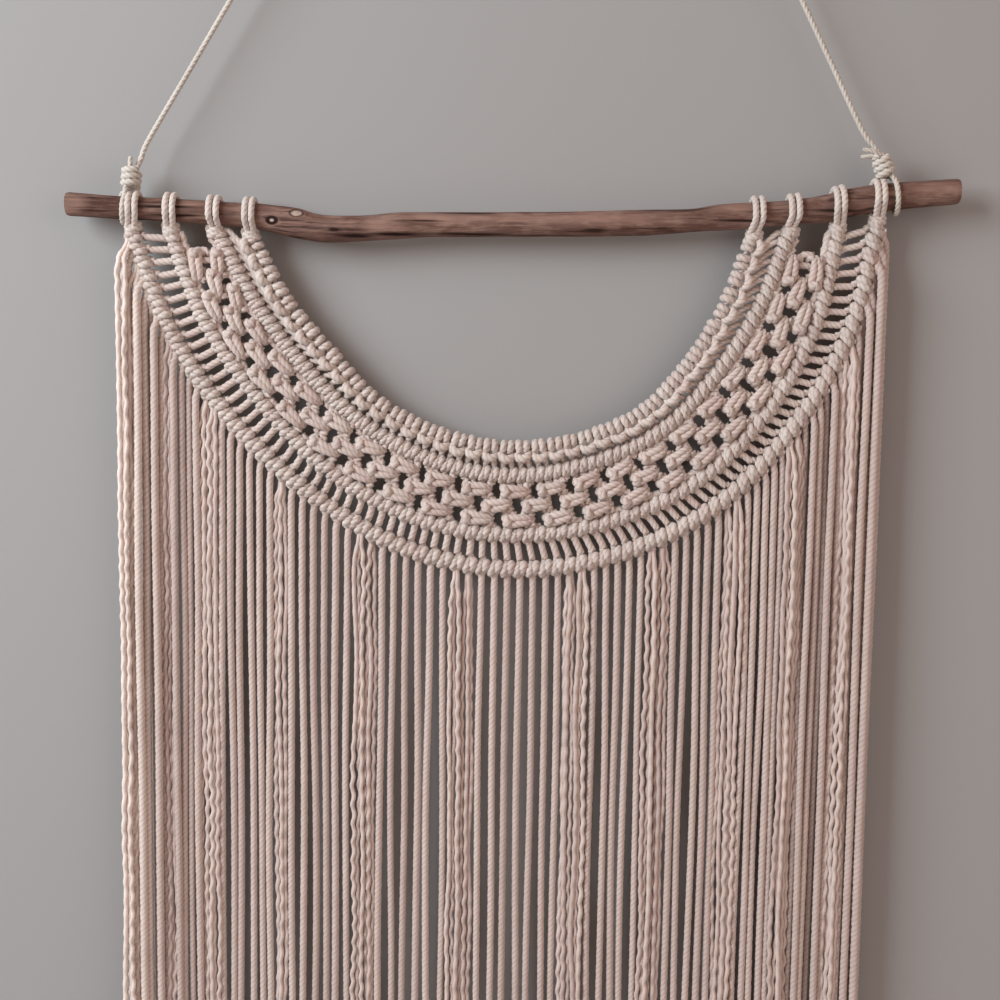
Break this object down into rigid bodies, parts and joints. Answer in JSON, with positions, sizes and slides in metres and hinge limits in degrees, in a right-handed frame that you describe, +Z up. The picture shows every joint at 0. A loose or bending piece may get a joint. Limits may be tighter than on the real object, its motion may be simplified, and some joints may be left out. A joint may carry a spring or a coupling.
{
  "type": "macrame wall hanging on a branch rod",
  "caption": "Knotted half-moon band with a long cord fringe, looped onto a peeled branch that hangs from a nail by one cord.",
  "frame": {"origin": "the point where the nail carries the hanging cord, in the middle plane of the cord", "axes": "+Z up, +Y towards the wall along the nail, +X to the right of a person who faces the hanging"},
  "size_m": [0.5281, 0.0256, 1.0535],
  "materials": {
    "branch_wood": "peeled branch, dry and matt",
    "hanging_cord": "twisted cotton cord, matt",
    "cotton_cord": "single twist cotton cord, cream with blush strands, matt"
  },
  "bodies": {
    "root": {"branch_rod": "branch_wood", "hanging_cord": "hanging_cord", "macrame_band": "cotton_cord", "fringe_left": "cotton_cord", "fringe_mid_left": "cotton_cord", "fringe_mid_right": "cotton_cord", "fringe_right": "cotton_cord"}
  },
  "joints": []
}
